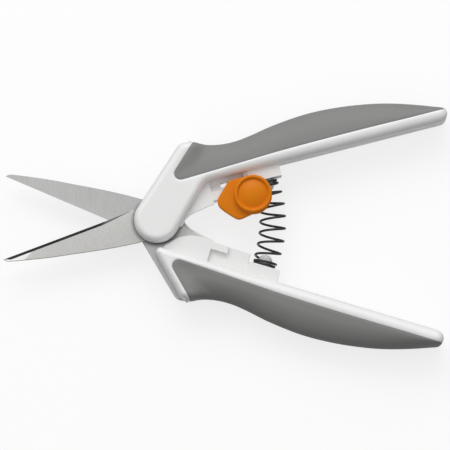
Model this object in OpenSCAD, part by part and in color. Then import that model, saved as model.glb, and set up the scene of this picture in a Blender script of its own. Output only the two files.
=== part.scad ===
// Spring-action floral snips.
// Two mirrored handle units turn on a rivet. Each unit holds a steel blade, an inner frame,
// two white shells and a soft grip. A coil spring opens them and a sliding latch holds them shut.
// Every handle part is drawn with the tool closed, its long axis on X, then turned open.
// The tool lies on its back: z = 0 is the flat back of the pivot cover, and the pivot is the Z axis.

/* [Opening] */
// Angle between the handles at rest, from closed
open_angle = 31; // [24:0.5:34]

/* [Blades] */
// Distance from the pivot to the tip
tip_reach = 55.4; // [50:0.1:60]
// Thickness of each blade
blade_t = 1.6; // [1.2:0.1:1.6]
// Width of the ground bevel along the cutting edge
bevel_w = 1.0; // [0.6:0.1:1.4]

/* [Handles] */
// Distance from the pivot to the end of the handle
handle_reach = 108; // [104:0.5:112]
// Half thickness of the shells and the soft grips, which are flush
body_z = 7.6; // [7.2:0.1:8.4]
// Radius of the round end that covers the pivot
boss_r = 8.0; // [7.6:0.1:8.2]
// Offset of the inner rail from the closed centre line
rail_y = 8.8; // [8.2:0.1:9.0]

/* [Pivot] */
// Radius of the rivet shank
rivet_r = 2.5; // [2:0.1:3]
// Radius of the rivet heads
rivet_head_r = 4.6; // [4:0.1:4.8]

/* [Spring] */
// Distance from the pivot to the spring axis
spring_x = 40.5; // [40:0.1:41]
// Wire diameter
wire_d = 0.85; // [0.7:0.05:0.9]
// Mean coil diameter at mid length
coil_d = 8.7; // [8.2:0.1:8.9]
// Mean coil diameter on the pegs
coil_end_d = 7.2; // [6.9:0.1:7.4]
// Radius of the spring pegs
peg_r = 2.5; // [2:0.1:2.6]
// Height of the spring pegs over their seats
peg_h = 4.3; // [3.5:0.1:4.4]

/* [Latch] */
// Travel of the latch from open to locked
latch_travel = 6; // [5:0.1:6]
// Radius of the thumb button
button_r = 6.6; // [6:0.1:7]

/* [Hidden] */
half = open_angle / 2;
gap = 0.03;
seat_y = 4.6;
web_z = 1.7;
plate_z = 3.4;
block_z = 4.2;
wall_x = 20.85;
block_x0 = 34.7;
block_x1 = 46.2;
pins = [[11.5, 14.2], [30, 11.9], [50, 11.9]];

white = "whitesmoke";
grey = "gray";
steel = "silver";

// ---------- curve helpers ----------
function arc(c, r, a0, a1, n) = [for (i = [0 : n]) let (a = a0 + (a1 - a0) * i / n) [c[0] + r * cos(a), c[1] + r * sin(a)]];
function cr(a, b, c, d, t) = 0.5 * ((2 * b) + (c - a) * t + (2 * a - 5 * b + 4 * c - d) * t * t + (3 * b - a - 3 * c + d) * t * t * t);
// smooth curve through the knots, k points per span
function spline(p, k) = let (n = len(p))
    [for (i = [0 : n - 2], j = [0 : k - 1]) cr(p[max(i - 1, 0)], p[i], p[i + 1], p[min(i + 2, n - 1)], j / k), p[n - 1]];
function unit(v) = v / norm(v);
function left_of(v) = [-v[1], v[0]];
// moves every edge of a counter-clockwise outline inwards by d
function inset(p, d) = let (n = len(p)) [for (i = [0 : n - 1])
    let (a = left_of(unit(p[i] - p[(i + n - 1) % n])), b = left_of(unit(p[(i + 1) % n] - p[i])))
    p[i] + d * (a + b) / max(1 + a * b, 0.35)];
function reach(p) = [for (q = p) [q[0] > 60 ? 60 + (q[0] - 60) * (handle_reach - 60) / 48 : q[0], q[1]]];

// ---------- outlines, tool closed ----------
outer_knots = [[104, 15.1], [98.8, 17.1], [90.8, 19.7], [82.6, 21.65], [71.5, 23.25], [60, 23.75],
               [48.2, 22.75], [39.2, 21.2], [33.2, 20.5], [27.5, 20.8], [22.1, 22.1], [19.2, 23.3], [16.7, 23.85]];
outer = spline(outer_knots, 3);
corner = arc([15.45, 20.85], 3.2, 77.6, 132.8, 4);
nose = [104.8, rail_y + 3];
fillet = [(13.3 + 0.6972 * (rail_y - 5.3)) / 0.7169, rail_y - 5.3];
cap_corner = [(0.7337 * (rail_y + 1.7) - 4.65) / 0.6794, rail_y + 1.7];
// Outlines run round the body as two matched chains: lower side, nose, upper side, far end.
over = concat(arc(nose, 3, -2.5, 50, 3), outer, corner);
under = concat(arc(nose, 3, -37.5, -90, 3), [for (i = [0 : 30]) [outer[i][0], rail_y]]);
function flip(p) = [for (i = [len(p) - 1 : -1 : 0]) p[i]];
function head(p, n) = [for (i = [0 : n - 1]) p[i]];
function ring(low, high, last) = reach(concat(flip(low), [nose + 3 * [cos(20), -sin(20)]], high, [last]));
// boss, arm and handle: the side that carries the pivot cover
arm_outline = ring(
    concat(under, arc(fillet, 5.3, 90, 135.8, 10), head(arc([0, 0], boss_r, 315.8, 224.3, 14), 14)),
    concat(over, head(arc([0, 0], boss_r, 132.8, 224.3, 14), 14)), boss_r * [cos(224.3), sin(224.3)]);
// handle only: the side that faces the other unit's arm
cap_outline = ring(
    concat(under, [for (i = [0 : 10]) [20.6 - 1.44 * i, rail_y]], head(arc(cap_corner, 1.7, 270, 201.4, 4), 4)),
    concat(arc(nose, 3, -2.5, 50, 3), head(outer, 34), arc([16.7, 21.55], 2.2, 77.6, 132.8, 7), head(arc(cap_corner, 1.7, 132.8, 201.4, 4), 4)),
    cap_corner + 1.7 * [cos(201.4), sin(201.4)]);
grip_line = [[108.6, 12.75], [94, 12.7], [83, 12.8], [71, 12.8], [48, 12.52], [36.3, 12.08], [24.6, 11.6], [13.1, 11.18]];
grip_area = reach(concat([for (i = [len(grip_line) - 1 : -1 : 0]) grip_line[i]], [[113, 12.9], [113, 30], [26, 30]],
                   arc([11.85, 13.4], 2.2, 132.8, 255, 6)));
core_area = reach([[8, 10.4], [103.6, 10.4], [98, 14.3], [90, 16.7], [80, 18.8], [60, 20.2], [45, 19.2], [33, 17.2], [24, 18.4], [18, 21.2], [12, 21.2]]);
wing_edge = [[8.2, -4.0], [9.7, -2.2], [11.6, -1.1], [13.5, -0.62], [15.5, -0.27], [17.4, 0.12], [19.2, 0.4], [20.7, 0.57]];
tang_wing = [[8.0, -2.9], [9.6, -1.3], [11.6, -0.25], [13.5, 0.2], [15.5, 0.55], [17.4, 0.95], [20.0, 1.5]];

// triangles across a face bounded by two matched chains of h points each
function cap_faces(n, first) = let (h = n / 2 - 1) concat([[first + h - 1, first + h, first + h + 1]],
    [for (i = [1 : h - 1], k = [0, 1]) k == 0 ? [first + h - i - 1, first + h - i, first + h + i] : [first + h - i - 1, first + h + i, first + h + i + 1]],
    [[first, first + 2 * h, first + 2 * h + 1]]);
// body between stacked copies of the outline, each ring given as [inset, height]
module stack(o, rings) {
    n = len(o);
    m = len(rings);
    pts = [for (q = rings) for (p = inset(o, q[0])) [p[0], p[1], q[1]]];
    side = [for (k = [0 : m - 2], i = [0 : n - 1]) let (j = (i + 1) % n) [k * n + i, (k + 1) * n + i, (k + 1) * n + j, k * n + j]];
    polyhedron(pts, concat(cap_faces(n, 0), side, [for (f = cap_faces(n, (m - 1) * n)) flip(f)]), convexity = 8);
}
function round_over(z, r, rz) = [for (k = [0 : 5]) let (a = 18 * k) [r * (1 - cos(a)), z - rz + rz * sin(a)]];
module slab(o, z0, z1, r, rz) { stack(o, concat([[0, z0]], round_over(z1, r, rz))); }
module slab_down(o, z0, z1, r, rz) { stack(o, concat([for (q = flip(round_over(z1, r, rz))) [q[0], -q[1]]], [[0, -z0]])); }
module pillow(o, z, r, rz) { stack(o, concat([for (q = flip(round_over(z, r, rz))) [q[0], -q[1]]], round_over(z, r, rz))); }

module prism(o, z0, z1) { translate([0, 0, z0]) linear_extrude(z1 - z0) polygon(o); }
module box(x0, y0, z0, x1, y1, z1) { translate([x0, y0, z0]) cube([x1 - x0, y1 - y0, z1 - z0]); }
module rod(x, y, z0, z1, r, fn = 48) { translate([x, y, z0]) cylinder(h = z1 - z0, r = r, $fn = fn); }
module centred() { translate([0, 0, body_z]) children(); }
module unit_upper() { centred() rotate([0, 0, half]) children(); }
module unit_lower() { centred() rotate([180, 0, 0]) rotate([0, 0, half]) children(); }

// ---------- blade ----------
k_tip = tip_reach / 55.4;
blade_edge = [[-55.4, 0.15], [-17.5, 4.4], [-12.6, 4.95]];
spine = [[-9.6, -5.85], [-16.8, -5.5], [-24, -4.9], [-31, -4.15], [-38.1, -3.45], [-45.1, -2.5], [-52.2, -1.35], [-54.4, -0.75]];
function out(p) = [for (q = p) [q[0] < -9 ? q[0] * k_tip : q[0], q[1]]];
tang_back = concat(tang_wing, [[20.6, 2.2], [20.6, 9.85], [60, 9.85], [62, 10.2], [62, 12.6], [60, 13.9], [24, 13.9], [20.5, 16.5], [15, 20.3], [16.3, 22.4]],
                   arc([15.45, 20.85], 3.05, 95, 132.8, 3));
blade_outline = concat(
    out(blade_edge), [[-9.6, 5.3], [-7.4, 5.65]],
    [(boss_r - 0.15) * [cos(132.8), sin(132.8)]],
    flip(tang_back),
    arc([0, 0], boss_r - 0.85, 322, 236, 10),
    out(spine));

module blade() {
    color(steel) difference() {
        prism(blade_outline, gap, blade_t);
        rod(0, 0, -1, 3, rivet_r + 0.04, 96);
        for (p = [pins[0], pins[1], pins[2]]) rod(p[0], p[1], -1, 3, 1.53);
        // ground bevel on the outer face
        translate([-55.4 * k_tip - 1, 0.15 - 0.112, 0]) rotate([0, 0, atan2(4.25, 37.9 * k_tip)]) rotate([90, 0, 90])
            linear_extrude(48 * k_tip) polygon([[0.4, gap + 0.15 - 0.4 * (blade_t - gap - 0.15) / bevel_w], [0.4, 4], [-bevel_w, 4], [-bevel_w, blade_t]]);
        // thinned tip
        translate([-46.5 * k_tip, 0, blade_t]) rotate([0, -5.2, 18]) box(-14, -8, 0, 0, 8, 3);
    }
}

// ---------- inner frame ----------
frame_arm = concat(
    arc([0, 0], boss_r - 1.1, 132.8, 318, 24),
    wing_edge, [[20.85, 0.7], [20.85, 1.7], [20.85, 9.7], [20.85, 12], [13.8, 12], [12.6, 12.6], [8.4, 14.6], [3.4, 13.2]]);
hump = concat([[4.6, 9.2], [5.4, 7.45], [6.6, 6.3], [7.9, 4.75], [9.3, 3.5], [11, 2.5], [12.6, 1.85], [14.3, 1.4], [16.1, 1.2], [18, 1.2], [19.8, 1.25], [20.85, 1.4]],
              [[20.85, 8.6], [20.85, 12], [8, 12], [5.4, 10.6]]);
module frame(slotted) {
    color(white) difference() {
        union() {
            prism(frame_arm, blade_t + gap, plate_z);                            // plate over the tang
            prism(hump, -plate_z, -0.1);                                         // shoulder on the far side
            box(20.8, 1.7, -web_z, block_x0, 9.7, web_z);                       // web
            box(20.8, 1.7, web_z - 0.1, 33.3, 4.85, plate_z);                    // guide strip
            box(20.8, 1.7, -plate_z, 26.8, 4.1, -web_z + 0.1);                   // catch ledge
            box(33.3, 1.7, web_z - 0.1, block_x0, 9.7, plate_z);                // stop of the latch channel
            box(block_x0 - 0.1, seat_y, -block_z, block_x1, 9.7, block_z);      // spring block
        }
        rod(0, 0, 0, 6, rivet_head_r + 0.35);
        rod(pins[0][0], pins[0][1], -6, 6, 1.53);
        if (slotted) box(30.6 - latch_travel, 5.6, -5, 33.25, 7.2, 5);              // slot for the latch stem
        translate([spring_x - 0.2, seat_y - 1, 0]) rotate([-90, 0, 0]) cylinder(h = 4.2, r = 1.5, $fn = 48);
        box(block_x0 - 1, seat_y - 2, web_z + 0.01, block_x0 + 0.8, seat_y + 0.9, 8);   // relief beside the block
        box(block_x0 + 0.001, 0, -8, block_x0 + 0.8, seat_y + 0.9, -web_z - 0.01);
    }
}

// ---------- shells and grip ----------
module grip_room() {
    difference() {
        prism(inset(grip_area, -0.03), -20, 20);
        prism(inset(core_area, 0.03), -4.57, 4.57);
    }
}
module tang_room() {
    prism(inset(blade_outline, 0.1), -0.005, blade_t + gap);
    for (p = pins) rod(p[0], p[1], -4.5, 4.5, 1.55, 32);
}
module frame_room() {
    prism(inset(frame_arm, -0.06), -1, plate_z + 0.04);
    box(20.7, 0, -1, 33.4, 9.75, web_z + 0.05);
    box(20.7, 0, -1, block_x0 + 0.05, 9.75, plate_z + 0.04);
    box(block_x0 - 1, 0, -1, block_x1 + 0.05, 9.75, block_z + 0.05);
}
module front_shell() {
    color(white) difference() {
        slab(arm_outline, gap, body_z, 2.4, 3.2);
        // nothing below the blade's outer face except inside the cap outline
        difference() { box(-12, -12, -1, 30, 26, blade_t + gap); prism(cap_outline, -2, 4); }
        tang_room();
        frame_room();
        rod(0, 0, 0, plate_z + 0.25, rivet_head_r + 0.35);
        grip_room();
    }
}
module rear_shell() {
    color(white) difference() {
        slab_down(cap_outline, gap, body_z, 1.5, 3.2);
        prism(inset(hump, -0.06), -plate_z - 0.04, 1);
        box(20.7, 0, -web_z - 0.04, block_x0 + 0.05, 9.75, 1);
        box(block_x0 - 1, 0, -block_z - 0.05, block_x1 + 0.05, 9.75, 1);
        for (p = pins) rod(p[0], p[1], -4.5, 4.5, 1.55, 32);
        grip_room();
    }
}
module grip() {
    color(grey) difference() {
        intersection() {
            pillow(arm_outline, body_z, 2.4, 6.2);
            prism(grip_area, -20, 20);
        }
        prism(core_area, -4.6, 4.6);
    }
}

// ---------- small parts ----------
module tang_pins() { color(steel) for (p = pins) rod(p[0], p[1], -4.2, 4.2, 1.5); }
module spring_peg() {
    color("lightgray") translate([spring_x - 0.2, seat_y - 0.02, 0]) rotate([90, 0, 0]) union() {
        cylinder(h = peg_h - 1.6, r = peg_r, $fn = 64);
        intersection() {
            translate([0, 0, peg_h - 2.5]) sphere(r = peg_r, $fn = 64);
            translate([0, 0, peg_h - 1.8]) cylinder(h = 2, r = peg_r, $fn = 64);
        }
        translate([0, 0, -3]) cylinder(h = 3.2, r = 1.48, $fn = 48);
    }
}
module pivot_rivet() {
    color(steel) {
        rod(0, 0, -plate_z + 0.1, plate_z - 0.1, rivet_r, 96);
        rod(0, 0, blade_t + 0.42, plate_z - 0.1, rivet_head_r, 64);
        rod(0, 0, -plate_z + 0.1, -blade_t - 0.42, rivet_head_r, 64);
    }
}
module washer(s) {
    color("gainsboro") difference() {
        rod(0, 0, s > 0 ? blade_t + 0.03 : -blade_t - 0.39, s > 0 ? blade_t + 0.39 : -blade_t - 0.03, rivet_head_r - 0.2, 64);
        rod(0, 0, -9, 9, rivet_r + 0.1, 64);
    }
}

// Coil wire. The axis is an arc about the pivot; the end coils lie flat on the seats.
turn_at = [-21.15, -19.6, -14.1, -8.1, -2.1, 3.7, 9.5, 15.2, 19.7, 21.15];
seat_a = half + atan2(seat_y, spring_x);
function turn_angle(t) = let (i = min(max(floor(t), 0), len(turn_at) - 2), n = len(turn_at))
    cr(turn_at[max(i - 1, 0)], turn_at[i], turn_at[i + 1], turn_at[min(i + 2, n - 1)], t - i) * (seat_a - 0.85) / 21.15;
function coil_point(t) = let (th = turn_angle(t), s = abs(th) / seat_a,
    r = (coil_d + (coil_end_d - coil_d) * pow(s, 6)) / 2, tilt = th * half / seat_a,
    a = -360 * t, c = [spring_x * cos(th), spring_x * sin(th), 0], u = [cos(tilt), sin(tilt), 0])
    c + u * r * cos(a) + [0, 0, 1] * r * sin(a);
module return_spring() {
    turns = len(turn_at) - 1;
    steps = turns * 22;
    k = 6;
    line = [for (i = [0 : steps]) coil_point(turns * i / steps)];
    pts = [for (i = [0 : steps]) let (
        d = unit(line[min(i + 1, steps)] - line[max(i - 1, 0)]),
        th = turn_angle(turns * i / steps), c = [spring_x * cos(th), spring_x * sin(th), 0],
        v = line[i] - c, e = unit(v - (v * d) * d), f = cross(d, e))
        for (j = [0 : k - 1]) line[i] + wire_d / 2 * (cos(360 * j / k) * e + sin(360 * j / k) * f)];
    faces = concat([[for (j = [k - 1 : -1 : 0]) j]],
        [for (i = [0 : steps - 1], j = [0 : k - 1]) let (q = (j + 1) % k) [i * k + j, i * k + q, (i + 1) * k + q, (i + 1) * k + j]],
        [[for (j = [0 : k - 1]) steps * k + j]]);
    color("#202020") polyhedron(pts, [for (f = faces) [for (i = [len(f) - 1 : -1 : 0]) f[i]]], convexity = 10);
}

// ---------- latch ----------
plate_shape = [[27.55, 6.95], [25.1, 4.5], [22.7, 2.15], [22.1, 1.05], [21.95, -0.1], [22.2, -1.15], [23.4, -2.9], [25.1, -4.75], [26.6, -6.3],
               [27.4, -6.95], [28.4, -7.15], [30, -6.9], [31.9, -6.5], [34, -6.2], [34, 7.1], [28.1, 7.1]];
button_c = [34.72, 0.36];
module lock_slider() {
    color("darkorange") union() {
        prism([for (i = [len(plate_shape) - 1 : -1 : 0]) plate_shape[i]], 3.5, 5.6);
        difference() {
            rod(button_c[0], button_c[1], 5.0, 8.2, button_r, 96);
            rod(button_c[0], button_c[1], 7.4, 9, button_r - 1.1, 96);
        }
        rod(button_c[0] - 0.1, button_c[1] - 0.5, 5.0, 6.4, button_r, 96);
        intersection() {
            rod(button_c[0], button_c[1], 7.3, 9, button_r - 1.25, 96);
            translate([button_c[0], button_c[1], 8.3 - 22]) sphere(r = 22, $fn = 128);
        }
        box(28.1, 5.05, web_z + 0.08, 33.1, 7.1, 3.6);                                   // foot in the channel
        box(30.8, 5.75, -web_z - 0.02, 33.1, 7.05, web_z + 0.2);                          // stem through the slot
        box(27.3, -5.7, web_z + 0.1, 31.3, -4.35, 3.6);                                  // hook
    }
}
module lock_keeper() {
    color("darkorange") difference() {
        box(28.6, 4.4, -plate_z + 0.1, 34.2, 7.5, -web_z - 0.06);
        rod(31.9, 6.4, -6, 0, 0.8, 32);
    }
}
module lock_screw() {
    color(steel) {
        rod(31.9, 6.4, -plate_z - 0.1, -web_z - 0.04, 0.75, 32);
        difference() { rod(31.9, 6.4, -plate_z - 0.6, -plate_z + 0.08, 1.35, 32); box(30, 6.2, -6, 34, 6.6, -plate_z - 0.25); }
    }
}

unit_lower() blade();  // rear_blade
unit_lower() frame(false);  // lower_frame
unit_lower() rear_shell();  // lower_front_shell
unit_lower() front_shell();  // lower_rear_shell
unit_lower() grip();  // lower_grip
unit_lower() spring_peg();  // lower_spring_peg
unit_lower() tang_pins();  // lower_tang_pins
centred() pivot_rivet();
centred() washer(1);  // front_washer
centred() washer(-1);  // rear_washer
centred() return_spring();
unit_upper() blade();  // front_blade
unit_upper() frame(true);  // upper_frame
unit_upper() front_shell();  // upper_front_shell
unit_upper() rear_shell();  // upper_rear_shell
unit_upper() grip();  // upper_grip
unit_upper() spring_peg();  // upper_spring_peg
unit_upper() tang_pins();  // upper_tang_pins
unit_upper() lock_slider();
unit_upper() lock_keeper();
unit_upper() lock_screw();
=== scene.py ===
import bpy, bmesh, math
import numpy as np
from mathutils import Matrix, Vector
from mathutils.geometry import delaunay_2d_cdt


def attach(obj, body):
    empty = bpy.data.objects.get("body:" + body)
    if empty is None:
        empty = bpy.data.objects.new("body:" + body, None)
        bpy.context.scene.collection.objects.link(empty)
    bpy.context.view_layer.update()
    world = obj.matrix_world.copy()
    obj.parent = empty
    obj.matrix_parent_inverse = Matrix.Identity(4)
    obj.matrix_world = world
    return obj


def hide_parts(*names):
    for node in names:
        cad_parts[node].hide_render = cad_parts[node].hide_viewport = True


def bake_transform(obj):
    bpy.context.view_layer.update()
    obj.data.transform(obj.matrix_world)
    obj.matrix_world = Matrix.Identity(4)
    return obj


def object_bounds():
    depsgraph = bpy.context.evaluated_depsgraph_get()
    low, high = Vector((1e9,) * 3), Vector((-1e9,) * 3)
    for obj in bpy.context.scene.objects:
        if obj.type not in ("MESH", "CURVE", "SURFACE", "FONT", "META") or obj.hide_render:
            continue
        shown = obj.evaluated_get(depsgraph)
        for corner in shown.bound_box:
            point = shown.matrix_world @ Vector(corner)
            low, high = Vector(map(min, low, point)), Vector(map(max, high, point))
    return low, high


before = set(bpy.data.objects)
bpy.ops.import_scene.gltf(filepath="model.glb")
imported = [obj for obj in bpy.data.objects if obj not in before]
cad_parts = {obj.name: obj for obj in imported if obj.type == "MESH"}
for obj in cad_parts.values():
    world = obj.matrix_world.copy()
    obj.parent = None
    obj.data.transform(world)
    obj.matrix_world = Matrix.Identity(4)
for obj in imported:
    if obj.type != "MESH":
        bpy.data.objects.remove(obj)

cad_lo, cad_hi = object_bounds()
MM = 0.001
HALF = math.radians(15.5)
H = 7.6            # half thickness of the body, mm
GAP = 0.03
BT = 1.6           # blade thickness

# The handle units are drawn closed, z measured from the plane between the blades.
UP = Matrix.Translation((0, 0, H * MM)) @ Matrix.Rotation(HALF, 4, "Z") @ Matrix.Scale(MM, 4)
LOW = Matrix.Translation((0, 0, H * MM)) @ Matrix.Rotation(math.pi, 4, "X") @ Matrix.Rotation(HALF, 4, "Z") @ Matrix.Scale(MM, 4)
MID = Matrix.Translation((0, 0, H * MM)) @ Matrix.Scale(MM, 4)


# ------------------------------------------------------------------ curves
def arc(c, r, a0, a1, n):
    t = np.radians(np.linspace(a0, a1, n + 1))
    return np.stack([c[0] + r * np.cos(t), c[1] + r * np.sin(t)], 1)


def spline(p, k):
    p = np.array(p, float)
    out = []
    n = len(p)
    for i in range(n - 1):
        a, b, c, d = p[max(i - 1, 0)], p[i], p[i + 1], p[min(i + 2, n - 1)]
        for j in range(k):
            t = j / k
            out.append(0.5 * (2 * b + (c - a) * t + (2 * a - 5 * b + 4 * c - d) * t * t + (3 * b - a - 3 * c + d) * t ** 3))
    out.append(p[-1])
    return np.array(out)


def resample(p, step, closed=False):
    p = np.array(p, float)
    if closed:
        p = np.vstack([p, p[:1]])
    seg = np.linalg.norm(np.diff(p, axis=0), axis=1)
    keep = np.concatenate([[True], seg > 1e-9])
    p = p[keep]
    s = np.concatenate([[0], np.cumsum(np.linalg.norm(np.diff(p, axis=0), axis=1))])
    n = max(2, int(round(s[-1] / step)))
    u = np.linspace(0, s[-1], n + 1)
    q = np.stack([np.interp(u, s, p[:, 0]), np.interp(u, s, p[:, 1])], 1)
    return q[:-1] if closed else q


def smooth(p, times, closed=True):
    p = p.copy()
    for _ in range(times):
        a, b = np.roll(p, 1, 0), np.roll(p, -1, 0)
        q = 0.25 * a + 0.5 * p + 0.25 * b
        if not closed:
            q[0], q[-1] = p[0], p[-1]
        p = q
    return p


def inset(p, d):
    a = p - np.roll(p, 1, 0)
    b = np.roll(p, -1, 0) - p
    a /= np.linalg.norm(a, axis=1)[:, None]
    b /= np.linalg.norm(b, axis=1)[:, None]
    na, nb = np.stack([-a[:, 1], a[:, 0]], 1), np.stack([-b[:, 1], b[:, 0]], 1)
    return p + d * (na + nb) / np.maximum(1 + (na * nb).sum(1), 0.35)[:, None]


def inside(poly, pts):
    x, y = pts[:, 0], pts[:, 1]
    r = np.zeros(len(pts), bool)
    px, py = poly[:, 0], poly[:, 1]
    qx, qy = np.roll(px, -1), np.roll(py, -1)
    for ax, ay, bx, by in zip(px, py, qx, qy):
        if ay == by:
            continue
        hit = ((ay > y) != (by > y)) & (x < (bx - ax) * (y - ay) / (by - ay) + ax)
        r ^= hit
    return r


def dist(pts, line, closed=True):
    """Distance from each point to a polyline."""
    a = line if closed else line[:-1]
    b = np.roll(line, -1, 0) if closed else line[1:]
    best = np.full(len(pts), 1e9)
    for i in range(0, len(a), 64):
        A, B = a[i:i + 64], b[i:i + 64]
        d = B - A
        l2 = np.maximum((d * d).sum(1), 1e-12)
        v = pts[:, None, :] - A[None]
        t = np.clip((v * d[None]).sum(2) / l2, 0, 1)
        q = v - t[:, :, None] * d[None]
        best = np.minimum(best, np.sqrt((q * q).sum(2)).min(1))
    return best


def step(x, a, b):
    t = np.clip((x - a) / (b - a), 0, 1)
    return t * t * (3 - 2 * t)


OUTER = spline([[104, 15.1], [98.8, 17.1], [90.8, 19.7], [82.6, 21.65], [71.5, 23.25], [60, 23.75], [48.2, 22.75], [39.2, 21.2],
                [33.2, 20.5], [27.5, 20.8], [22.1, 22.1], [19.2, 23.3], [16.7, 23.85]], 8)
CORNER = arc((15.45, 20.85), 3.2, 77.6, 132.8, 10)
RAIL = 8.8
NOSE = arc((104.8, RAIL + 3), 3.0, -90, 50, 22)
FILLET = ((13.3 + 0.6972 * (RAIL - 5.3)) / 0.7169, RAIL - 5.3)
CAP_C = ((0.7337 * (RAIL + 1.7) - 4.65) / 0.6794, RAIL + 1.7)
ARM = resample(np.vstack([arc((0, 0), 8.0, 132.8, 315.8, 60), arc(FILLET, 5.3, 135.8, 90, 14), NOSE, OUTER, CORNER]), 0.5, True)
CAP = resample(np.vstack([arc(CAP_C, 1.7, 132.8, 270, 12), NOSE, OUTER[:-8], arc((16.7, 21.55), 2.2, 77.6, 132.8, 8)]), 0.5, True)
ARM, CAP = smooth(ARM, 3), smooth(CAP, 2)
SEAM = np.vstack([[[116, 13.1], [108.6, 12.75]], spline([[108.6, 12.75], [94, 12.7], [83, 12.8], [71, 12.8], [60, 12.72], [48, 12.52], [36.3, 12.08], [24.6, 11.6], [13.4, 11.2]], 6)[1:],
                  arc((11.95, 13.45), 2.3, -82, -227.2, 14), [[26.0, 30.0]]])
SEAM = smooth(resample(SEAM, 0.5), 2, False)
GRIP_AREA = np.vstack([SEAM, [[40, 40], [118, 40], [118, 20]]])


# ------------------------------------------------------------------ mesh helpers
def mesh_obj(name, verts, faces, matrix, mat, smooth_angle=35):
    me = bpy.data.meshes.new(name)
    me.from_pydata([tuple(v) for v in verts], [], [tuple(f) for f in faces])
    me.update()
    bm = bmesh.new()
    bm.from_mesh(me)
    bmesh.ops.remove_doubles(bm, verts=bm.verts, dist=1e-5)
    bmesh.ops.dissolve_degenerate(bm, dist=1e-5, edges=bm.edges)
    loose = [v for v in bm.verts if not v.link_faces]
    if loose:
        bmesh.ops.delete(bm, geom=loose, context="VERTS")
    bmesh.ops.recalc_face_normals(bm, faces=bm.faces)
    for f in bm.faces:
        f.smooth = True
    for e in bm.edges:
        if len(e.link_faces) == 2 and e.calc_face_angle(0) > math.radians(smooth_angle):
            e.smooth = False
    bm.to_mesh(me)
    bm.free()
    me.transform(matrix)
    if matrix.determinant() < 0:
        me.flip_normals()
    o = bpy.data.objects.new(name, me)
    bpy.context.collection.objects.link(o)
    me.materials.append(mat)
    return o


def add(o, body, slot, *nodes):
    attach(o, body)
    if nodes:
        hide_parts(*nodes)
    return o


def solidify(o, thick, offset=-1):
    m = o.modifiers.new("wall", "SOLIDIFY")
    m.thickness = thick * MM
    m.offset = offset
    m.use_even_offset = False
    m.use_rim = True
    return m


def bevel(o, width, angle=30, segments=2):
    m = o.modifiers.new("edge", "BEVEL")
    m.width = width * MM
    m.segments = segments
    m.limit_method = "ANGLE"
    m.angle_limit = math.radians(angle)
    m.use_clamp_overlap = True
    m.harden_normals = False
    return m


def loop_tube(sections):
    """Faces between successive closed sections of equal length, with both ends filled."""
    n = len(sections[0])
    verts = np.vstack(sections)
    faces = []
    for k in range(len(sections) - 1):
        for i in range(n):
            j = (i + 1) % n
            faces.append((k * n + i, k * n + j, (k + 1) * n + j, (k + 1) * n + i))
    faces.append(tuple(range(n - 1, -1, -1)))
    faces.append(tuple(range((len(sections) - 1) * n, len(sections) * n)))
    return verts, faces


def rounded_prism(outline, z0, z1, r, seg=4, r_low=0.0):
    """A plate with rounded top edges and, if r_low is given, rounded lower edges."""
    p = np.array(outline, float)
    rings = []
    if r_low:
        for k in range(seg + 1):
            a = math.pi / 2 * (1 - k / seg)
            rings.append((r_low * (1 - math.cos(a)), z0 + r_low * (1 - math.sin(a))))
    else:
        rings.append((0, z0))
    for k in range(seg + 1):
        a = math.pi / 2 * k / seg
        rings.append((r * (1 - math.cos(a)), z1 - r + r * math.sin(a)))
    secs = []
    for d, z in rings:
        q = inset(p, d) if d > 1e-9 else p
        secs.append(np.column_stack([q, np.full(len(q), z)]))
    return loop_tube(secs)


def lathe(profile, n, centre=(0, 0)):
    """profile: list of (r, z) from bottom centre to top centre; first and last on the axis."""
    verts, faces = [], []
    rings = []
    for r, z in profile:
        if r < 1e-6:
            rings.append([len(verts)])
            verts.append((centre[0], centre[1], z))
        else:
            rings.append(list(range(len(verts), len(verts) + n)))
            for i in range(n):
                a = 2 * math.pi * i / n
                verts.append((centre[0] + r * math.cos(a), centre[1] + r * math.sin(a), z))
    for a, b in zip(rings, rings[1:]):
        for i in range(n):
            j = (i + 1) % n
            if len(a) == 1 and len(b) == 1:
                continue
            if len(a) == 1:
                faces.append((a[0], b[j], b[i]))
            elif len(b) == 1:
                faces.append((a[i], a[j], b[0]))
            else:
                faces.append((a[i], a[j], b[j], b[i]))
    return verts, faces


# ------------------------------------------------------------------ materials
def new_mat(name):
    m = bpy.data.materials.new(name)
    m.use_nodes = True
    nt = m.node_tree
    nt.nodes.clear()
    out = nt.nodes.new("ShaderNodeOutputMaterial")
    b = nt.nodes.new("ShaderNodeBsdfPrincipled")
    nt.links.new(b.outputs[0], out.inputs[0])
    return m, nt, b


def N(nt, kind, **kw):
    n = nt.nodes.new(kind)
    for k, v in kw.items():
        if k in n.inputs:
            n.inputs[k].default_value = v
        else:
            setattr(n, k, v)
    return n


def L(nt, a, b):
    nt.links.new(a, b)


def ramp(nt, fac, stops):
    r = nt.nodes.new("ShaderNodeValToRGB")
    e = r.color_ramp.elements
    while len(e) < len(stops):
        e.new(0.5)
    for i, (p, c) in enumerate(stops):
        e[i].position = p
        e[i].color = (c, c, c, 1) if isinstance(c, (int, float)) else (*c, 1)
    L(nt, fac, r.inputs[0])
    return r


def noise(nt, vec, scale, detail=3, rough=0.5):
    n = N(nt, "ShaderNodeTexNoise")
    n.inputs["Scale"].default_value = scale
    n.inputs["Detail"].default_value = detail
    n.inputs["Roughness"].default_value = rough
    if vec is not None:
        L(nt, vec, n.inputs["Vector"])
    return n


def bump(nt, height, strength, distance, bsdf, normal=None):
    b = nt.nodes.new("ShaderNodeBump")
    b.inputs["Strength"].default_value = strength
    b.inputs["Distance"].default_value = distance
    L(nt, height, b.inputs["Height"])
    if normal is not None:
        L(nt, normal, b.inputs["Normal"])
    if bsdf is not None:
        L(nt, b.outputs[0], bsdf.inputs["Normal"])
    return b


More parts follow.
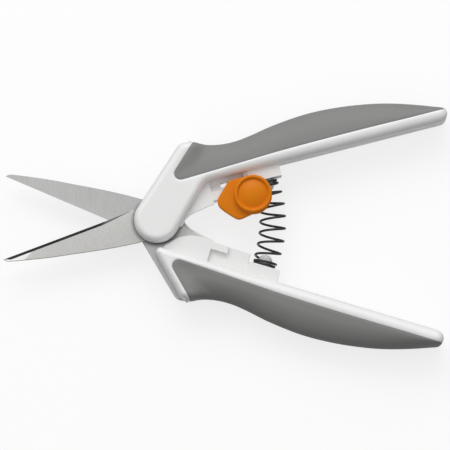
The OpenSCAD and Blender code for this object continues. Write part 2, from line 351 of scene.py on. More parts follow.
def edge_factor(nt, radius=0.0006):
    """1 on sharp convex edges, 0 elsewhere."""
    bev = nt.nodes.new("ShaderNodeBevel")
    bev.samples = 4
    bev.inputs["Radius"].default_value = radius
    geo = nt.nodes.new("ShaderNodeNewGeometry")
    dot = nt.nodes.new("ShaderNodeVectorMath")
    dot.operation = "DOT_PRODUCT"
    L(nt, bev.outputs[0], dot.inputs[0])
    L(nt, geo.outputs["Normal"], dot.inputs[1])
    r = ramp(nt, dot.outputs["Value"], [(0.8, 1.0), (0.995, 0.0)])
    return r.outputs[0]


def mix_col(nt, fac, a, b):
    m = nt.nodes.new("ShaderNodeMix")
    m.data_type = "RGBA"
    for v, s in ((fac, m.inputs[0]), (a, m.inputs[6]), (b, m.inputs[7])):
        if hasattr(v, "is_linked") or hasattr(v, "links"):
            L(nt, v, s)
        elif isinstance(v, (int, float)):
            s.default_value = v
        else:
            s.default_value = (*v, 1)
    return m.outputs[2]


def painted_pivot_shade(nt, tc, c, dark, amount, r0, r1, a0=None, a1=None):
    """Painted shade in the step round the pivot cover: the colour is darkened inside radius r0, fading out by r1,
    and, when a0 is given, only within a0 to a1 of the mid-plane.
    """
    sep = nt.nodes.new("ShaderNodeSeparateXYZ")
    L(nt, tc.outputs["Object"], sep.inputs[0])
    flat = nt.nodes.new("ShaderNodeCombineXYZ")
    L(nt, sep.outputs["X"], flat.inputs["X"])
    L(nt, sep.outputs["Y"], flat.inputs["Y"])
    length = nt.nodes.new("ShaderNodeVectorMath")
    length.operation = "LENGTH"
    L(nt, flat.outputs[0], length.inputs[0])

    def fade(src, x0, x1, top):
        n = nt.nodes.new("ShaderNodeMapRange")
        n.interpolation_type = "SMOOTHSTEP"
        L(nt, src, n.inputs["Value"])
        for k_, v_ in (("From Min", x0), ("From Max", x1), ("To Min", top), ("To Max", 0.0)):
            n.inputs[k_].default_value = v_
        return n.outputs["Result"]
    f = fade(length.outputs["Value"], r0, r1, amount)
    if a0 is not None:
        sub = nt.nodes.new("ShaderNodeMath")
        sub.operation = "SUBTRACT"
        L(nt, sep.outputs["Z"], sub.inputs[0])
        sub.inputs[1].default_value = H * MM
        ab = nt.nodes.new("ShaderNodeMath")
        ab.operation = "ABSOLUTE"
        L(nt, sub.outputs[0], ab.inputs[0])
        mul = nt.nodes.new("ShaderNodeMath")
        mul.operation = "MULTIPLY"
        L(nt, f, mul.inputs[0])
        L(nt, fade(ab.outputs[0], a0, a1, 1.0), mul.inputs[1])
        f = mul.outputs[0]
    return mix_col(nt, f, c, dark)


def plastic(name, col, col2, rough, grain=2600, bump_d=0.00001, spec=0.5, coat=0.0, sss=0.0):
    m, nt, b = new_mat(name)
    tc = nt.nodes.new("ShaderNodeTexCoord")
    big = noise(nt, tc.outputs["Object"], 45, 3)
    fine = noise(nt, tc.outputs["Object"], grain, 2, 0.6)
    mid = noise(nt, tc.outputs["Object"], 380, 3, 0.55)
    c = mix_col(nt, ramp(nt, big.outputs[0], [(0.35, 0.0), (0.65, 1.0)]).outputs[0], col, col2)
    # sharp convex edges are painted very slightly lighter
    ef = edge_factor(nt)
    c = mix_col(nt, ef, c, tuple(min(1, x * 1.06 + 0.01) for x in col))
    # painted shade: the white covers are darkened low on their wall round the pivot, near the blades, as a contact
    # shadow
    if name == "white_plastic":
        c = painted_pivot_shade(nt, tc, c, (0.16, 0.165, 0.15), 0.85, 0.0088, 0.0104, 0.0019, 0.0042)
    L(nt, c, b.inputs["Base Color"])
    rr = ramp(nt, mid.outputs[0], [(0.3, rough - 0.05), (0.7, rough + 0.06)])
    L(nt, rr.outputs[0], b.inputs["Roughness"])
    b.inputs["Specular IOR Level"].default_value = spec
    b.inputs["Coat Weight"].default_value = coat
    b.inputs["Coat Roughness"].default_value = 0.25
    if sss:
        b.inputs["Subsurface Weight"].default_value = sss
        b.inputs["Subsurface Radius"].default_value = (0.0012, 0.001, 0.0008)
        b.inputs["Subsurface Scale"].default_value = 1.0
    bp = bump(nt, mid.outputs[0], 0.25, 0.00004, None)
    bump(nt, fine.outputs[0], 0.5, bump_d, b, bp.outputs[0])
    return m


def grip_mat():
    m, nt, b = new_mat("grip")
    tc = nt.nodes.new("ShaderNodeTexCoord")
    v = tc.outputs["Object"]
    big = noise(nt, v, 30, 4)
    vor = N(nt, "ShaderNodeTexVoronoi")
    vor.inputs["Scale"].default_value = 3200
    L(nt, v, vor.inputs["Vector"])
    fine = noise(nt, v, 5200, 2, 0.7)
    c = mix_col(nt, ramp(nt, big.outputs[0], [(0.3, 0.0), (0.7, 1.0)]).outputs[0], (0.222, 0.222, 0.219), (0.238, 0.238, 0.234))
    dust = ramp(nt, fine.outputs[0], [(0.35, 0.0), (0.8, 0.35)])
    c = mix_col(nt, dust.outputs[0], c, (0.27, 0.27, 0.265))
    L(nt, c, b.inputs["Base Color"])
    L(nt, ramp(nt, big.outputs[0], [(0.3, 0.62), (0.7, 0.72)]).outputs[0], b.inputs["Roughness"])
    b.inputs["Specular IOR Level"].default_value = 0.32
    b.inputs["Sheen Weight"].default_value = 0.12
    b.inputs["Sheen Roughness"].default_value = 0.5
    bp = bump(nt, vor.outputs["Distance"], 0.35, 0.00003, None)
    bump(nt, fine.outputs[0], 0.35, 0.00002, b, bp.outputs[0])
    return m


def steel(name, angle, base=(0.62, 0.615, 0.605), rough=0.3, dark=1.0, streak=0.5, grain=0.3):
    """Brushed steel. angle: direction of the scratches in the row frame's XY plane."""
    m, nt, b = new_mat(name)
    tc = nt.nodes.new("ShaderNodeTexCoord")
    mp = nt.nodes.new("ShaderNodeMapping")
    mp.vector_type = "TEXTURE"
    mp.inputs["Rotation"].default_value = (0, 0, angle)
    mp.inputs["Scale"].default_value = (1 / 45.0, 1 / 2600.0, 1 / 400.0)
    L(nt, tc.outputs["Object"], mp.inputs["Vector"])
    s1 = noise(nt, mp.outputs[0], 1.0, 4, 0.65)
    mp2 = nt.nodes.new("ShaderNodeMapping")
    mp2.vector_type = "TEXTURE"
    mp2.inputs["Rotation"].default_value = (0, 0, angle + 0.12)
    mp2.inputs["Scale"].default_value = (1 / 120.0, 1 / 6500.0, 1 / 900.0)
    L(nt, tc.outputs["Object"], mp2.inputs["Vector"])
    s2 = noise(nt, mp2.outputs[0], 1.0, 3, 0.6)
    big = noise(nt, tc.outputs["Object"], 160, 3)
    speck = noise(nt, tc.outputs["Object"], 1500, 2, 0.7)
    mixs = N(nt, "ShaderNodeMath", operation="ADD")
    L(nt, s1.outputs[0], mixs.inputs[0])
    L(nt, s2.outputs[0], mixs.inputs[1])
    half = N(nt, "ShaderNodeMath", operation="MULTIPLY")
    L(nt, mixs.outputs[0], half.inputs[0])
    half.inputs[1].default_value = 0.5
    lo = tuple(x * (0.80 * dark) for x in base)
    hi = tuple(min(1, x * (1.12 * dark)) for x in base)
    c = mix_col(nt, ramp(nt, half.outputs[0], [(0.5 - 0.22 * streak - 0.08, 0.0), (0.5 + 0.22 * streak + 0.08, 1.0)]).outputs[0], lo, hi)
    c = mix_col(nt, ramp(nt, speck.outputs[0], [(0.5, 0.0), (0.75, grain)]).outputs[0], c, tuple(x * 0.72 for x in base))
    c = mix_col(nt, ramp(nt, big.outputs[0], [(0.4, 0.0), (0.8, 0.25)]).outputs[0], c, tuple(min(1, x * 1.15) for x in base))
    # painted shade: the blade steel is darkened in a ring round the pivot cover, as a contact shadow
    if "blade" in name:
        c = painted_pivot_shade(nt, tc, c, tuple(x * 0.3 for x in base), 0.75, 0.0078, 0.0096)
    L(nt, c, b.inputs["Base Color"])
    b.inputs["Metallic"].default_value = 1.0
    L(nt, ramp(nt, half.outputs[0], [(0.3, rough + 0.1), (0.7, rough - 0.05)]).outputs[0], b.inputs["Roughness"])
    b.inputs["Anisotropic"].default_value = 0.5
    bump(nt, half.outputs[0], 0.5, 0.000006, b)
    return m


white = plastic("white_plastic", (0.865, 0.865, 0.86), (0.845, 0.845, 0.84), 0.36, spec=0.42, sss=0.12)
white_frame = plastic("white_frame", (0.85, 0.85, 0.845), (0.825, 0.825, 0.82), 0.42, spec=0.36, sss=0.12)
peg_plastic = plastic("peg_plastic", (0.84, 0.845, 0.85), (0.80, 0.805, 0.81), 0.4, spec=0.4, sss=0.1)
nylon = plastic("washer_nylon", (0.72, 0.71, 0.66), (0.66, 0.65, 0.6), 0.45)
orange = plastic("orange_plastic", (0.71, 0.200, 0.0005), (0.68, 0.187, 0.0004), 0.4, spec=0.16)
grip = grip_mat()
spring_black = plastic("spring_black", (0.012, 0.012, 0.012), (0.02, 0.02, 0.02), 0.35, grain=6000, bump_d=0.000006, spec=0.5)
pin_steel = steel("fastener_steel", 0.3, rough=0.35)
front_steel = steel("front_blade_steel", HALF + 0.05, base=(0.655, 0.65, 0.632), rough=0.38, streak=2.2, grain=0.55)
rear_steel = steel("rear_blade_steel", math.pi / 2 + 0.02, base=(0.6, 0.6, 0.595), rough=0.33, streak=0.9)
# painted shade: a dark copy of the blade steel for the ground bevel, standing in for the dark it reflects
shaded_bevel_steel = steel("bevel_steel_painted_shade", HALF, base=(0.2, 0.2, 0.2), rough=0.16, dark=0.8)
# painted highlight: a bright copy of the blade steel for the facets of the thinned tip
tip_steel_painted_highlight = steel("tip_steel_painted_highlight", HALF, base=(0.95, 0.95, 0.94), rough=0.3, streak=1.5)


# ------------------------------------------------------------------ shells and grips
RINGS = [0.0, 0.05, 0.16, 0.34, 0.58, 0.88, 1.25, 1.7, 2.2, 2.75]


def surface(outline):
    """Triangulated plan of a handle half, split along the seam. Returns points, triangles, and which triangles are grip."""
    pts, edges = [], []

    def line(p, closed):
        b = len(pts)
        pts.extend([tuple(q) for q in p])
        n = len(p)
        for i in range(n if closed else n - 1):
            edges.append((b + i, b + (i + 1) % n))
    for d in RINGS:
        line(inset(outline, d) if d else outline, True)
    near = []
    for off in (-0.34, -0.14, 0.0, 0.14, 0.34):
        t = np.gradient(SEAM, axis=0)
        t /= np.linalg.norm(t, axis=1)[:, None]
        q = SEAM + off * np.stack([-t[:, 1], t[:, 0]], 1)
        if off == 0:
            line(q, False)
        else:
            near.append(q)
    xs = np.arange(-9, 109, 1.15)
    ys = np.arange(-9, 25, 1.0)
    g = np.array([(x + (0.57 if j % 2 else 0), y) for j, y in enumerate(ys) for x in xs])
    d = dist(g, outline)
    ds = dist(g, SEAM, False)
    g = g[inside(outline, g) & (d > 3.0) & (ds > 0.6)]
    pts.extend([tuple(p) for p in g])
    nr = np.vstack(near)
    nr = nr[inside(outline, nr) & (dist(nr, outline) > 0.5)]
    pts.extend([tuple(p) for p in nr])
    v, e, f, *_ = delaunay_2d_cdt([Vector(p) for p in pts], edges, [], 0, 1e-5)
    v = np.array([tuple(p) for p in v])
    f = np.array([tuple(t) for t in f if len(t) == 3])
    c = v[f].mean(1)
    keep = inside(outline, c)
    f, c = f[keep], c[keep]
    return v, f, inside(GRIP_AREA, c)


def shell_height(v, outline):
    d = dist(v, outline)
    x = v[:, 0]
    r = 2.3 + 0.8 * step(x, 22, 34)
    rz = 3.0
    t = np.clip(d / r, 0, 1)
    return H - rz + rz * np.sqrt(np.maximum(0, 1 - (1 - t) ** 2)), d


def groove(v, depth=0.16, w=0.26):
    ds = dist(v, SEAM, False)
    return depth * np.exp(-(ds / w) ** 2)


def border(f):
    """Ordered-by-nothing list of the directed boundary edges of a triangle set."""
    e = {}
    for a, b, c in f:
        for p, q in ((a, b), (b, c), (c, a)):
            if (q, p) in e:
                del e[(q, p)]
            else:
                e[(p, q)] = 1
    return list(e)


def ccw(v, f):
    a, b, c = v[f[:, 0]], v[f[:, 1]], v[f[:, 2]]
    s = (b[:, 0] - a[:, 0]) * (c[:, 1] - a[:, 1]) - (b[:, 1] - a[:, 1]) * (c[:, 0] - a[:, 0])
    g = f.copy()
    g[s < 0] = g[s < 0][:, ::-1]
    return g[np.abs(s) > 1e-9]


def white_half(name, outline, matrix, low_z):
    """low_z(points) gives the lower rim of the outer wall."""
    v, f, is_grip = surface(outline)
    f = ccw(v, f[~is_grip])
    z, d = shell_height(v, outline)
    z = z - groove(v) * step(d, 0.0, 0.5)
    verts = [(p[0], p[1], h) for p, h in zip(v, z)]
    faces = [tuple(t) for t in f]
    zb = low_z(v)
    row = {}

    def down(i, k):
        if (i, k) not in row:
            if d[i] < 0.02:
                top, bot = z[i], zb[i]
            else:
                top, bot = z[i], z[i] - 1.6
            row[(i, k)] = len(verts)
            verts.append((v[i][0], v[i][1], top + (bot - top) * k / 3))
        return row[(i, k)]
    for a, b in border(f):
        prev = (a, b)
        for k in (1, 2, 3):
            cur = (down(a, k), down(b, k))
            faces.append((prev[1], prev[0], cur[0], cur[1]))
            prev = cur
    o = mesh_obj(name, verts, faces, matrix, white, 50)
    solidify(o, 1.25)
    return o


def grip_full(name, outline_front, outline_back, matrix):
    """Front and back faces of a grip, meeting round the outer edge."""
    verts, faces = [], []
    for sign, outline in ((1, outline_front), (-1, outline_back)):
        v, f, is_grip = surface(outline)
        f = ccw(v, f[is_grip])
        zs, d = shell_height(v, outline)
        # distance to the outer edge only, and the width of the grip measured along the same line
        ds = dist(v, SEAM, False)
        t = d / np.maximum(d + ds, 1e-6)
        bottom = SEAM[np.argmin(np.abs(SEAM[:, 0][None] - v[:, 0][:, None]) + 50 * (SEAM[:, 1][None] > 14.4), axis=1)]
        hs, _ = shell_height(bottom, outline)
        p = 1.85
        dome = hs * (1 - (1 - t) ** p) ** (1 / p)
        # beside the white corner strip the grip takes up the strip's own height
        left = step(dist(v, SEAM[-30:], False), 0.0, 5.0)
        corner = zs * (1 - left) + dome * left
        z = np.where(d < 1e-3, 0, corner)
        z = z - groove(v) * step(d, 0.0, 0.5)
        z = np.maximum(z, 0)
        b = len(verts)
        verts += [(p_[0], p_[1], sign * h) for p_, h in zip(v, z)]
        # inner face straight below the outer one; on the outer edge the two share their points
        low = {}

        def down(i):
            if z[i] < 1e-6:
                return b + i
            if i not in low:
                low[i] = len(verts)
                verts.append((v[i][0], v[i][1], sign * max(z[i] - 1.5, 0)))
            return low[i]
        for t_ in f:
            if max(z[j] for j in t_) < 1e-6:
                continue
            q = tuple(b + j for j in t_)
            w = tuple(down(j) for j in t_)[::-1]
            faces += [q, w] if sign > 0 else [q[::-1], w[::-1]]
        for a, c in border(f):
            q = []
            for k_ in (b + c, b + a, down(a), down(c)):
                if k_ not in q:
                    q.append(k_)
            if len(q) > 2:
                faces.append(tuple(q) if sign > 0 else tuple(q[::-1]))
    return mesh_obj(name, verts, faces, matrix, grip, 60)


def low_arm(v):
    out = dist(v, CAP)
    inn = inside(CAP, v)
    near = out < 0.35
    return np.where(inn | near, GAP, BT + GAP)


def low_cap(v):
    return np.full(len(v), GAP)


def flipz(m):
    return m @ Matrix.Diagonal((1, 1, -1, 1))


add(white_half("upper_front_cover", ARM, UP, low_arm), "upper_handle", "white_plastic", "upper_front_shell")
add(white_half("upper_rear_cover", CAP, flipz(UP), low_cap), "upper_handle", "white_plastic", "upper_rear_shell")
add(white_half("lower_rear_cover", ARM, LOW, low_arm), "lower_handle", "white_plastic", "lower_rear_shell")
add(white_half("lower_front_cover", CAP, flipz(LOW), low_cap), "lower_handle", "white_plastic", "lower_front_shell")
add(grip_full("upper_soft_grip", ARM, CAP, UP), "upper_handle", "grey_grip", "upper_grip")
add(grip_full("lower_soft_grip", ARM, CAP, LOW), "lower_handle", "grey_grip", "lower_grip")


# ------------------------------------------------------------------ blades
TANG_WING = [[8.0, -2.9], [9.6, -1.3], [11.6, -.25], [13.5, .2], [15.5, .55], [17.4, .95], [20.0, 1.5]]
TANG_BACK = np.vstack([TANG_WING, [[20.6, 2.2], [20.6, 9.85], [60, 9.85], [62, 10.2], [62, 12.6], [60, 13.9], [24, 13.9], [20.5, 16.5], [15, 20.3], [16.3, 22.4]],
                       arc((15.45, 20.85), 3.05, 95, 132.8, 6)])
SPINE = spline([[-9.6, -5.85], [-16.8, -5.5], [-24, -4.9], [-31, -4.15], [-38.1, -3.45], [-45.1, -2.5], [-52.2, -1.35], [-54.4, -.75], [-55.4, .1]], 4)
EDGE = np.array([[-55.4, .15], [-46.0, 1.2], [-36.0, 2.33], [-26.0, 3.45], [-17.5, 4.4], [-12.6, 4.95], [-9.6, 5.3], [-7.4, 5.65]])
BLADE = np.vstack([resample(EDGE, 0.7)[:-1], [[7.85 * math.cos(math.radians(132.8)), 7.85 * math.sin(math.radians(132.8))]],
                   TANG_BACK[::-1], arc((0, 0), 7.15, 322, 236, 24), SPINE[:-1]])


TIP_X, TIP_K = -45.35, -1.5         # where the thinned tip starts


def blade(name, matrix, mat, shaded_bevel_mat, body, node):
    """Flat plate with a ground cutting bevel, a thinned tip and broken edges. z 0.03 is the flat mating face."""
    o = BLADE[::-1]                       # counter-clockwise
    bw = 1.1

    def bev(t):
        return bw * np.clip(np.asarray(t) / 2.5, 0, 1) * (1 - step(np.asarray(t), 35.5, 49.3))

    pts, edges = [], []

    def line(q, closed):
        k = len(pts)
        pts.extend([tuple(v) for v in q])
        for i in range(len(q) if closed else len(q) - 1):
            edges.append((k + i, k + (i + 1) % len(q)))
    line(o, True)
    line(inset(o, 0.12), True)
    e0, e1 = np.array([-55.4, .15]), np.array([-12.6, 4.95])
    d = (e1 - e0) / np.linalg.norm(e1 - e0)
    nrm = np.array([d[1], -d[0]])         # into the blade
    top = [e0 + d * t + nrm * float(bev(t)) for t in np.linspace(0.0, 48.8, 100)]
    line(np.array(top)[1:], False)
    tipl = [e0 + d * 10.2 + nrm * w for w in (0.9, 2.6)]
    line(np.array([[TIP_X - TIP_K * y_, y_] for y_ in (0.1, -0.4, -0.9, -1.4, -1.8)]), False)
    v, e, f, *_ = delaunay_2d_cdt([Vector(q) for q in pts], edges, [], 0, 1e-5)
    v = np.array([tuple(q) for q in v])
    f = np.array([tuple(t) for t in f if len(t) == 3])
    c = v[f].mean(1)
    hole = (c ** 2).sum(1) < 2.54 ** 2
    f = ccw(v, f[inside(o, c) & ~hole])
    along = (v - e0) @ d
    off = (v - e0) @ nrm
    width = bev(along)
    z = np.full(len(v), BT)
    t = np.clip(off / np.maximum(width, 1e-3), 0, 1)
    on = (along > -1) & (along < 49.0) & (width > 1e-3)
    z = np.where(on, BT - (BT - 0.16) * np.minimum(1, np.where(along > 20, width / bw, 1)) * (1 - t), z)
    # thinned tip
    drop = np.clip((v - np.array([TIP_X, 0])) @ np.array([-0.555, 0.832]), 0, 20) * 0.11
    z = np.minimum(z, np.maximum(BT - drop, 0.3 + 0 * drop))
    dd = dist(v, o)
    z = np.where((dd < 0.02) & ~(on & (off < 0.3)), z - 0.10, z)
    z = np.maximum(z, 0.14)
    verts = [(q[0], q[1], h) for q, h in zip(v, z)] + [(q[0], q[1], GAP) for q in v]
    n = len(v)
    faces = [tuple(q) for q in f] + [tuple(q[::-1] + n) for q in f]
    for p0, p1 in border(f):
        faces.append((p1, p0, p0 + n, p1 + n))
    ob = mesh_obj(name, verts, faces, matrix, mat, 12)
    ob.data.materials.append(shaded_bevel_mat)
    ob.data.materials.append(tip_steel_painted_highlight)
    # the ground bevel faces take a dark copy of the steel (painted shade), the thinned tip faces a bright copy
    # (painted highlight)
    inv = matrix.inverted()
    for q in ob.data.polygons:
        pc = inv @ q.center
        w_ = np.array([pc.x, pc.y]) - e0
        al, of = float(w_ @ d), float(w_ @ nrm)
        ww = float(bev(al))
        if pc.z > 0.2 and 0 < al < 49.0 and of < ww - 0.02 and pc.z < BT - 0.02:
            q.material_index = 1
        elif pc.z > 0.4 and pc.x < TIP_X - TIP_K * pc.y and abs((inv.to_3x3() @ q.normal).normalized().z) > 0.9:
            q.material_index = 2
    return add(ob, body, "blade_steel", node)


blade("front_cutting_blade", UP, front_steel, shaded_bevel_steel, "upper_handle", "front_blade")
blade("rear_cutting_blade", LOW, rear_steel, shaded_bevel_steel, "lower_handle", "rear_blade")

# ------------------------------------------------------------------ return spring
TURN_AT = [-20.8, -19.5, -14.1, -8.1, -2.1, 3.7, 9.5, 15.2, 19.5, 20.8]
SEAT_A = 15.5 + math.degrees(math.atan2(4.6, 40.5))
KA = 0.999
END = 0.5          # extra half turn on each seat
TURNS = len(TURN_AT) - 1


def turn_angle(t):
    if t <= 1:
        return (-19.5 - 1.3 * (1 - t)) * KA
    if t >= TURNS - 1:
        return (19.5 + 1.3 * (t - TURNS + 1)) * KA
    i = min(max(int(math.floor(t)), 0), TURNS - 1)
    a_, b_, c_, d_ = TURN_AT[max(i - 1, 0)], TURN_AT[i], TURN_AT[i + 1], TURN_AT[min(i + 2, TURNS)]
    u = t - i
    return 0.5 * (2 * b_ + (c_ - a_) * u + (2 * a_ - 5 * b_ + 4 * c_ - d_) * u * u + (3 * b_ - a_ - 3 * c_ + d_) * u ** 3) * KA


def coil_point(t):
    th = turn_angle(t)
    r = (8.7 + (7.2 - 8.7) * min(1, (abs(th) / 21.0)) ** 6) / 2
    tilt = math.radians(th * 15.5 / SEAT_A)
    a_ = -2 * math.pi * t
    c_ = Vector((40.5 * math.cos(math.radians(th)), 40.5 * math.sin(math.radians(th)), 0))
    return c_ + Vector((math.cos(tilt), math.sin(tilt), 0)) * r * math.cos(a_) + Vector((0, 0, 1)) * r * math.sin(a_), c_


def spring():
    per, k, rw = 44, 12, 0.85 / 2
    steps = int((TURNS + 2 * END) * per)
    line = [coil_point(-END + i / per) for i in range(steps + 1)]
    verts, faces, ring_t = [], [], []
    # a closing weight is worked out per ring and kept in ring_t (0 on the lower seated turns, 1 on the upper ones,
    # graded over the free turns); nothing applies it
    t0, t1 = 1.0, TURNS - 1.0
    shut0, shut1 = turn_angle(t0), turn_angle(t1) - 31.0
    for i in range(steps + 1):
        t = -END + i / per
        p, c_ = line[i]
        d_ = (line[min(i + 1, steps)][0] - line[max(i - 1, 0)][0]).normalized()
        v_ = p - c_
        e_ = (v_ - d_ * v_.dot(d_)).normalized()
        f_ = d_.cross(e_)
        if t <= t0:
            w = 0.0
        elif t >= t1:
            w = 1.0
        else:
            w = (turn_angle(t) - (shut0 + (shut1 - shut0) * (t - t0) / (t1 - t0))) / 31.0
        w = min(max(w, 0.0), 1.0)
        # rounded wire ends
        rings = [(0.0, rw)]
        if i == 0:
            rings = [(-rw * 0.85, rw * 0.35), (-rw * 0.5, rw * 0.82), (0.0, rw)]
        if i == steps:
            rings = [(0.0, rw), (rw * 0.5, rw * 0.82), (rw * 0.85, rw * 0.35)]
        for push, rad in rings:
            for j in range(k):
                q = 2 * math.pi * j / k
                verts.append(p + d_ * push + (e_ * math.cos(q) + f_ * math.sin(q)) * rad)
                ring_t.append(w)
    n = len(verts) // k
    for i in range(n - 1):
        for j in range(k):
            q = (j + 1) % k
            faces.append((i * k + j, i * k + q, (i + 1) * k + q, (i + 1) * k + j))
    faces.append(tuple(range(k - 1, -1, -1)))
    faces.append(tuple(range((n - 1) * k, n * k)))
    me = bpy.data.meshes.new("coil_spring")
    me.from_pydata([tuple(v) for v in verts], [], faces)
    me.transform(MID)
    me.update()
    bm = bmesh.new()
    bm.from_mesh(me)
    bmesh.ops.recalc_face_normals(bm, faces=bm.faces)
    for f in bm.faces:
        f.smooth = True
    bm.to_mesh(me)
    bm.free()
    o = bpy.data.objects.new("coil_spring", me)
    bpy.context.collection.objects.link(o)
    me.materials.append(spring_black)
    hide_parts("return_spring")
    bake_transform(o)
    return o


spring()

# ------------------------------------------------------------------ spring pegs
def peg(name, matrix, body, node):
    rot = matrix @ Matrix.Translation((40.3, 4.58, 0)) @ Matrix.Rotation(math.pi / 2, 4, "X")
    prof = [(0, -0.5), (2.35, -0.5), (2.5, -0.3), (2.5, 2.0)]
    for k in range(1, 11):
        a_ = math.pi / 2 * k / 10
        prof.append((2.5 * math.cos(a_), 2.0 + 2.28 * math.sin(a_)))
    prof[-1] = (0, 4.28)
    v, f = lathe(prof, 40)
    return add(mesh_obj(name, v, f, rot, peg_plastic, 50), body, "peg_plastic", node)


peg("upper_peg", UP, "upper_handle", "upper_spring_peg")
peg("lower_peg", LOW, "lower_handle", "lower_spring_peg")

# ------------------------------------------------------------------ latch
PLATE = [[27.3, 6.8], [25.1, 4.5], [22.7, 2.15], [22.1, 1.05], [21.95, -0.1], [22.2, -1.15], [23.4, -2.9], [25.1, -4.75], [26.6, -6.3],
         [27.4, -6.95], [28.4, -7.15], [30, -6.9], [31.9, -6.5], [34, -6.2], [34.4, -6.0], [34.4, 6.9], [34, 7.1], [28.1, 7.1]]
BC = (34.72, 0.36)


def latch():
    pl = smooth(resample(PLATE, 0.4, True), 2)
    # thumb plate with a soft rounded edge
    prof = []
    v, f = rounded_prism(pl, 3.5, 5.6, 0.62, 5, 0.2)
    parts = [mesh_obj("thumb_plate", v, f, UP, orange, 40)]
    # button: foot, side wall, rolled rim, shallow groove and crowned face
    rr = 6.6
    prof = [(0, 5.0), (rr - 0.25, 5.0), (rr, 5.15), (rr + 0.02, 6.2), (rr, 7.35)]
    for k in range(1, 9):
        a_ = math.pi * k / 8
        prof.append((rr - 0.62 + 0.62 * math.cos(a_), 7.45 + 0.62 * math.sin(a_)))
    prof += [(rr - 1.29, 7.25), (rr - 1.42, 7.08), (rr - 1.6, 7.08)]
    for k in range(0, 13):
        r_ = (rr - 1.75) * (1 - k / 12)
        prof.append((r_, 7.12 + 1.1 * (1 - (r_ / (rr - 1.75)) ** 2)))
    v, f = lathe(prof, 88, BC)
    parts.append(mesh_obj("thumb_button", v, f, UP, orange, 60))
    # lower skirt of the button, set slightly towards the hook
    prof = [(0, 5.05), (6.45, 5.05), (6.6, 5.2), (6.62, 5.9)]
    for k in range(1, 6):
        a_ = math.pi / 2 * k / 5
        prof.append((6.62 - 0.4 * (1 - math.cos(a_)), 5.9 + 0.45 * math.sin(a_)))
    prof.append((0, 6.35))
    v, f = lathe(prof, 88, (BC[0] - 0.1, BC[1] - 0.5))
    parts.append(mesh_obj("button_skirt", v, f, UP, orange, 60))
    # guide foot, stem and hook under the plate
    for nm, (x0, y0, x1, y1, z0, z1) in {"guide_foot": (28.1, 5.05, 33.1, 7.05, 1.78, 3.7), "guide_stem": (30.8, 5.75, 33.1, 7.05, -1.72, 1.9),
                                        "catch_hook": (27.3, -5.7, 31.3, -4.35, 1.8, 3.7)}.items():
        q = smooth(resample([[x0, y0], [x1, y0], [x1, y1], [x0, y1]], 0.3, True), 1)
        v, f = rounded_prism(q, z0, z1, 0.05, 2, 0.15)
        parts.append(mesh_obj(nm, v, f, UP, orange, 40))
    for i, o in enumerate(parts):
        add(o, "latch", "orange_plastic", *(["lock_slider"] if i == 0 else []))


latch()


# ------------------------------------------------------------------ carried-over CAD nodes
def paint(node, mat, w=0.0):
    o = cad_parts[node]
    o.data.materials.clear()
    o.data.materials.append(mat)
    if w:
        bevel(o, w)
    return o


for n in ("upper_frame", "lower_frame"):
    paint(n, white_frame, 0.16)
for n in ("upper_tang_pins", "lower_tang_pins", "pivot_rivet", "lock_screw"):
    paint(n, pin_steel, 0.08)
for n in ("front_washer", "rear_washer"):
    paint(n, nylon, 0.04)
paint("lock_keeper", orange, 0.12)


# ------------------------------------------------------------------ stage, light and camera
floor_z = cad_lo.z - 0.0002
bm = bmesh.new()
bmesh.ops.create_grid(bm, x_segments=1, y_segments=1, size=3)
me = bpy.data.meshes.new("floor")
bm.to_mesh(me)
bm.free()
floor = bpy.data.objects.new("floor", me)
floor.location = (0.02, 0, floor_z)
bpy.context.collection.objects.link(floor)
fm, nt, b = new_mat("floor")
tc = nt.nodes.new("ShaderNodeTexCoord")
nz = noise(nt, tc.outputs["Object"], 12, 2)
pale = mix_col(nt, nz.outputs[0], (0.245, 0.245, 0.245), (0.26, 0.26, 0.26))
lp = nt.nodes.new("ShaderNodeLightPath")
# little light is thrown back up from the sheet, as on a raised table in a dark studio
L(nt, mix_col(nt, lp.outputs["Is Camera Ray"], (0.22, 0.22, 0.22), pale), b.inputs["Base Color"])
# the shadows on it are lifted, for a soft shadowless table look
b.inputs["Emission Color"].default_value = (1, 1, 1, 1)
lift = nt.nodes.new("ShaderNodeMath")
lift.operation = "MULTIPLY"
L(nt, lp.outputs["Is Camera Ray"], lift.inputs[0])
lift.inputs[1].default_value = 0.75
# steep rays coming down from the underside of the tool find a soft light, so its back can be looked at
geo_in = nt.nodes.new("ShaderNodeNewGeometry")
sep_in = nt.nodes.new("ShaderNodeSeparateXYZ")
L(nt, geo_in.outputs["Incoming"], sep_in.inputs[0])
steep = nt.nodes.new("ShaderNodeMapRange")
L(nt, sep_in.outputs["Z"], steep.inputs["Value"])
for key_, val_ in (("From Min", 0.6), ("From Max", 0.85), ("To Min", 0.0), ("To Max", 0.7)):
    steep.inputs[key_].default_value = val_
glow = nt.nodes.new("ShaderNodeMix")
L(nt, lp.outputs["Is Camera Ray"], glow.inputs["Factor"])
L(nt, steep.outputs["Result"], glow.inputs["A"])
L(nt, lift.outputs[0], glow.inputs["B"])
L(nt, glow.outputs["Result"], b.inputs["Emission Strength"])
b.inputs["Roughness"].default_value = 0.95
b.inputs["Specular IOR Level"].default_value = 0.0
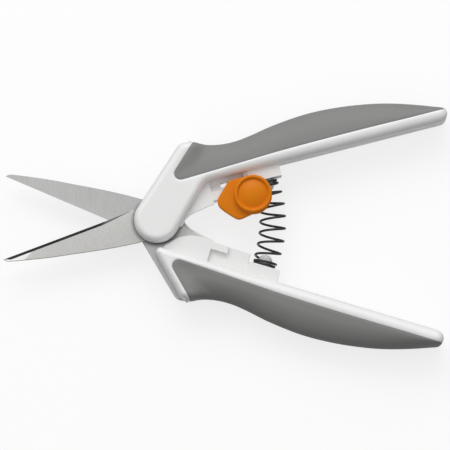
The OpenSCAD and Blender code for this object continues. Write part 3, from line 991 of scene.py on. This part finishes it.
# seen from below, the sheet is clear
geo = nt.nodes.new("ShaderNodeNewGeometry")
clear = nt.nodes.new("ShaderNodeBsdfTransparent")
both = nt.nodes.new("ShaderNodeMath")
both.operation = "MULTIPLY"
L(nt, geo.outputs["Backfacing"], both.inputs[0])
L(nt, lp.outputs["Is Camera Ray"], both.inputs[1])
mx = nt.nodes.new("ShaderNodeMixShader")
L(nt, both.outputs[0], mx.inputs[0])
L(nt, b.outputs[0], mx.inputs[1])
L(nt, clear.outputs[0], mx.inputs[2])
out = [n_ for n_ in nt.nodes if n_.type == "OUTPUT_MATERIAL"][0]
L(nt, mx.outputs[0], out.inputs[0])
me.materials.append(fm)

world = bpy.data.worlds.new("studio")
bpy.context.scene.world = world
world.use_nodes = True
wt = world.node_tree
bg = wt.nodes["Background"]
wc = wt.nodes.new("ShaderNodeTexCoord")
sep = wt.nodes.new("ShaderNodeSeparateXYZ")
L(wt, wc.outputs["Generated"], sep.inputs[0])


def lin(terms, base):
    acc = None
    for sock, k in terms:
        m = wt.nodes.new("ShaderNodeMath")
        m.operation = "MULTIPLY_ADD"
        L(wt, sock, m.inputs[0])
        m.inputs[1].default_value = k
        if acc is None:
            m.inputs[2].default_value = base
        else:
            L(wt, acc, m.inputs[2])
        acc = m.outputs[0]
    return acc


WORLD = dict(base=0.43, x=-0.05, y=0.36, z=0.30, low=0.06)
v_ = lin([(sep.outputs[0], WORLD["x"]), (sep.outputs[1], WORLD["y"]), (sep.outputs[2], WORLD["z"])], WORLD["base"])
mxm = wt.nodes.new("ShaderNodeMath")
mxm.operation = "MAXIMUM"
L(wt, v_, mxm.inputs[0])
mxm.inputs[1].default_value = WORLD["low"]
# the camera sees a plain pale backdrop
wlp = wt.nodes.new("ShaderNodeLightPath")
wmx = wt.nodes.new("ShaderNodeMix")
wmx.data_type = "FLOAT"
L(wt, wlp.outputs["Is Camera Ray"], wmx.inputs[0])
L(wt, mxm.outputs[0], wmx.inputs[2])
wmx.inputs[3].default_value = 0.95
bg.inputs[0].default_value = (1, 1, 1, 1)
L(wt, wmx.outputs[0], bg.inputs[1])
bpy.context.scene.view_settings.view_transform = "Standard"


def area(name, loc, size, power, target=(0.025, 0, 0.005)):
    ld = bpy.data.lights.new(name, "AREA")
    ld.shape = "RECTANGLE"
    ld.size, ld.size_y = size
    ld.energy = power
    o = bpy.data.objects.new(name, ld)
    o.location = loc
    o.rotation_mode = "QUATERNION"
    o.rotation_quaternion = (Vector(target) - Vector(loc)).to_track_quat("-Z", "Y")
    bpy.context.collection.objects.link(o)
    return o


area("key", (-0.12, 0.80, 0.80), (1.0, 0.6), 5.6)

cam_data = bpy.data.cameras.new("camera")
cam = bpy.data.objects.new("camera", cam_data)
bpy.context.collection.objects.link(cam)
bpy.context.scene.camera = cam
TURN, LEAN = math.radians(1.216), math.radians(6.3)
dist_cam = 1.6
cam_data.sensor_width = 36
cam_data.lens = 36 * dist_cam / 0.1575
cam_data.clip_start, cam_data.clip_end = 0.05, 20
rot = Matrix.Rotation(TURN, 3, "Z") @ Matrix.Rotation(LEAN, 3, "X")
cam.rotation_mode = "QUATERNION"
cam.rotation_quaternion = rot.to_quaternion()
cam.location = Vector((0.02382, -0.00083, H * MM)) + rot @ Vector((0, 0, dist_cam))
